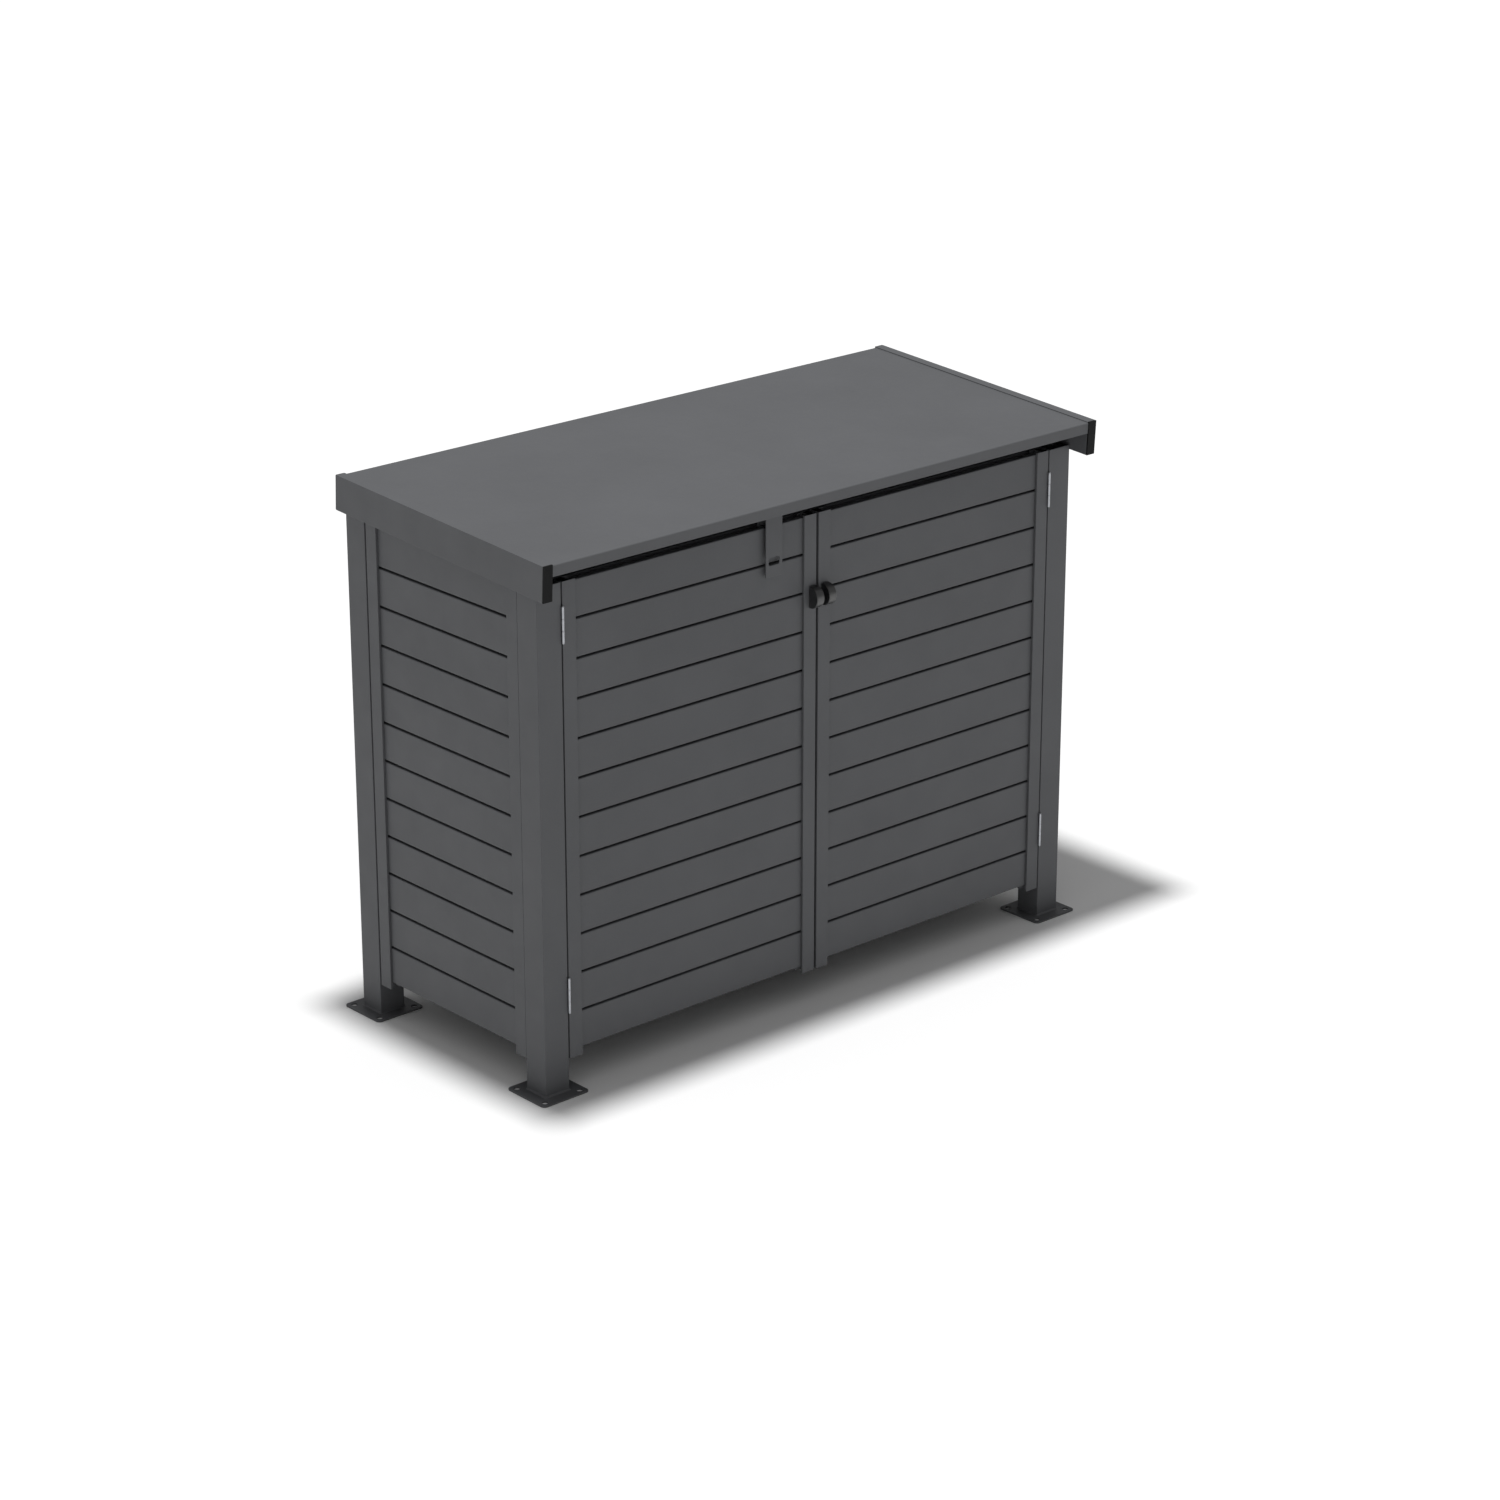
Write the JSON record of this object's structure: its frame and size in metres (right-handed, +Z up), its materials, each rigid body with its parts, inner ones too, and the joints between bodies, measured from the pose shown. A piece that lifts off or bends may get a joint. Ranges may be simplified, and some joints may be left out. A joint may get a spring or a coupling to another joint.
{
  "type": "wheeled bin store",
  "caption": "Slatted metal outdoor store on bolted posts, open at the bottom, with two slatted front doors and a sloping lid hinged at the back.",
  "frame": {"origin": "centre of the footprint, on the ground", "axes": "+Z up, +X along the width with the left door at -X, front with the doors towards -Y"},
  "size_m": [1.629, 0.742, 1.2566],
  "materials": {
    "powder_coat": "matt dark grey powder coat on aluminium",
    "hinge_steel": "bare stainless steel, satin",
    "black_plastic": "black moulded plastic, fine texture",
    "grip_plastic": "black moulded plastic, semi-gloss",
    "stop_rubber": "black rubber"
  },
  "bodies": {
    "frame": {"back_left_base_plate": "powder_coat", "back_left_post": "powder_coat", "back_left_post_plug": "black_plastic", "back_left_stile": "powder_coat", "back_right_base_plate": "powder_coat", "back_right_post": "powder_coat", "back_right_post_plug": "black_plastic", "back_right_stile": "powder_coat", "back_slats": "powder_coat", "back_top_rail": "powder_coat", "back_upright": "powder_coat", "front_left_base_plate": "powder_coat", "front_left_lid_stop": "stop_rubber", "front_left_post": "powder_coat", "front_right_base_plate": "powder_coat", "front_right_lid_stop": "stop_rubber", "front_right_post": "powder_coat", "front_top_rail": "powder_coat", "left_door_catch": "black_plastic", "left_door_lower_hinge_pin": "hinge_steel", "left_door_lower_hinge_post_leaf": "hinge_steel", "left_door_upper_hinge_pin": "hinge_steel", "left_door_upper_hinge_post_leaf": "hinge_steel", "left_side_back_stile": "powder_coat", "left_side_front_stile": "powder_coat", "left_side_slats": "powder_coat", "left_top_rail": "powder_coat", "lid_hinge_frame_leaf": "powder_coat", "lid_hinge_pin": "hinge_steel", "right_door_catch": "black_plastic", "right_door_lower_hinge_pin": "hinge_steel", "right_door_lower_hinge_post_leaf": "hinge_steel", "right_door_upper_hinge_pin": "hinge_steel", "right_door_upper_hinge_post_leaf": "hinge_steel", "right_side_back_stile": "powder_coat", "right_side_front_stile": "powder_coat", "right_side_slats": "powder_coat", "right_top_rail": "powder_coat"},
    "left_door": {"left_door_closing_stile": "powder_coat", "left_door_grip": "grip_plastic", "left_door_hinge_stile": "powder_coat", "left_door_lock_plate": "powder_coat", "left_door_lower_hinge_door_leaf": "hinge_steel", "left_door_slats": "powder_coat", "left_door_upper_hinge_door_leaf": "hinge_steel"},
    "right_door": {"right_door_closing_stile": "powder_coat", "right_door_grip": "grip_plastic", "right_door_hinge_stile": "powder_coat", "right_door_lower_hinge_door_leaf": "hinge_steel", "right_door_slats": "powder_coat", "right_door_upper_hinge_door_leaf": "hinge_steel"},
    "lid": {"lid_back_stiffener": "powder_coat", "lid_front_stiffener": "powder_coat", "lid_hinge_lid_leaf": "powder_coat", "lid_left_rail": "powder_coat", "lid_left_rail_cap": "black_plastic", "lid_right_rail": "powder_coat", "lid_right_rail_cap": "black_plastic", "lid_sheet": "powder_coat"}
  },
  "joints": [
    {"name": "left_door_hinge", "type": "hinge", "parent": "frame", "child": "left_door", "pos_m": [-0.7162, -0.31555, 0.64], "axis": [0, 0, -1], "range_deg": [0, 110]},
    {"name": "right_door_hinge", "type": "hinge", "parent": "frame", "child": "right_door", "pos_m": [0.7162, -0.31555, 0.64], "axis": [0, 0, 1], "range_deg": [0, 110]},
    {"name": "lid_hinge", "type": "hinge", "parent": "frame", "child": "lid", "pos_m": [0, 0.34203, 1.22535], "axis": [-1, 0, 0], "range_deg": [0, 100]}
  ]
}
